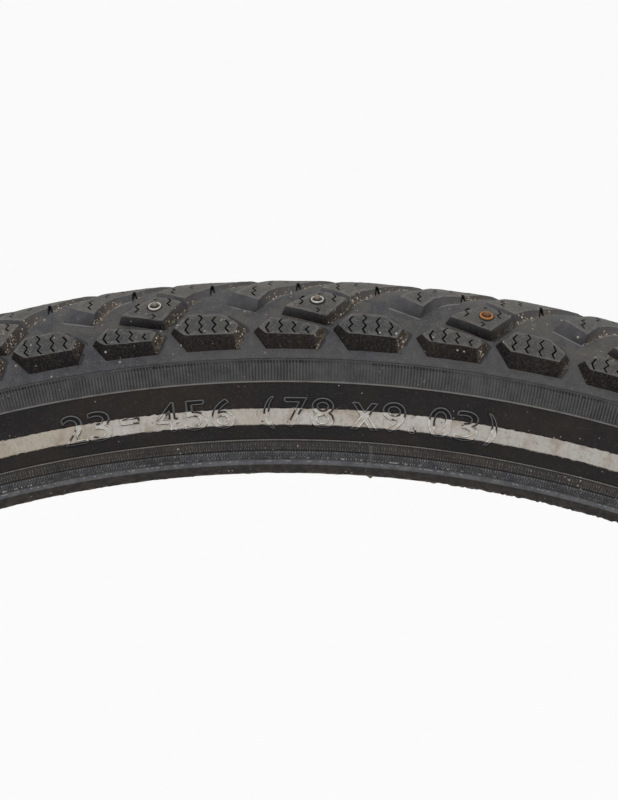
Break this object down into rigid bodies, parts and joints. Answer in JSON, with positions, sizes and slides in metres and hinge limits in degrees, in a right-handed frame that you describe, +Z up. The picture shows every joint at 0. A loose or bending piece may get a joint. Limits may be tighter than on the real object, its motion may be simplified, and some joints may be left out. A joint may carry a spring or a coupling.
{
  "type": "bicycle tire",
  "caption": "Studded winter bicycle tire with wire beads, block tread, ribbed sidewalls and a reflective strip on each side.",
  "frame": {"origin": "centre of the tire: on the wheel's axle line, midway between the beads", "axes": "+Y along the axle to the left side, +Z up, +X forward"},
  "size_m": [0.6528, 0.0466, 0.6524],
  "materials": {
    "tread_rubber": "matte, dusty",
    "sidewall_rubber": "matte, worn",
    "chafer_fabric": "rubberised weave",
    "casing_fabric": "rubberised cord fabric",
    "belt_rubber": "matte",
    "filler_rubber": "matte",
    "bead_steel": "drawn wire",
    "reflective": "reflective film, scuffed",
    "stud_steel": "worn, some rust"
  },
  "bodies": {
    "root": {"casing_inner_ply": "casing_fabric", "casing_outer_ply": "casing_fabric", "puncture_belt": "belt_rubber", "tread": "tread_rubber", "studs_left": "stud_steel", "studs_right": "stud_steel", "bead_wire_left": "bead_steel", "bead_filler_left": "filler_rubber", "chafer_left": "chafer_fabric", "sidewall_left": "sidewall_rubber", "reflective_strip_left": "reflective", "bead_wire_right": "bead_steel", "bead_filler_right": "filler_rubber", "chafer_right": "chafer_fabric", "sidewall_right": "sidewall_rubber", "reflective_strip_right": "reflective"}
  },
  "joints": []
}
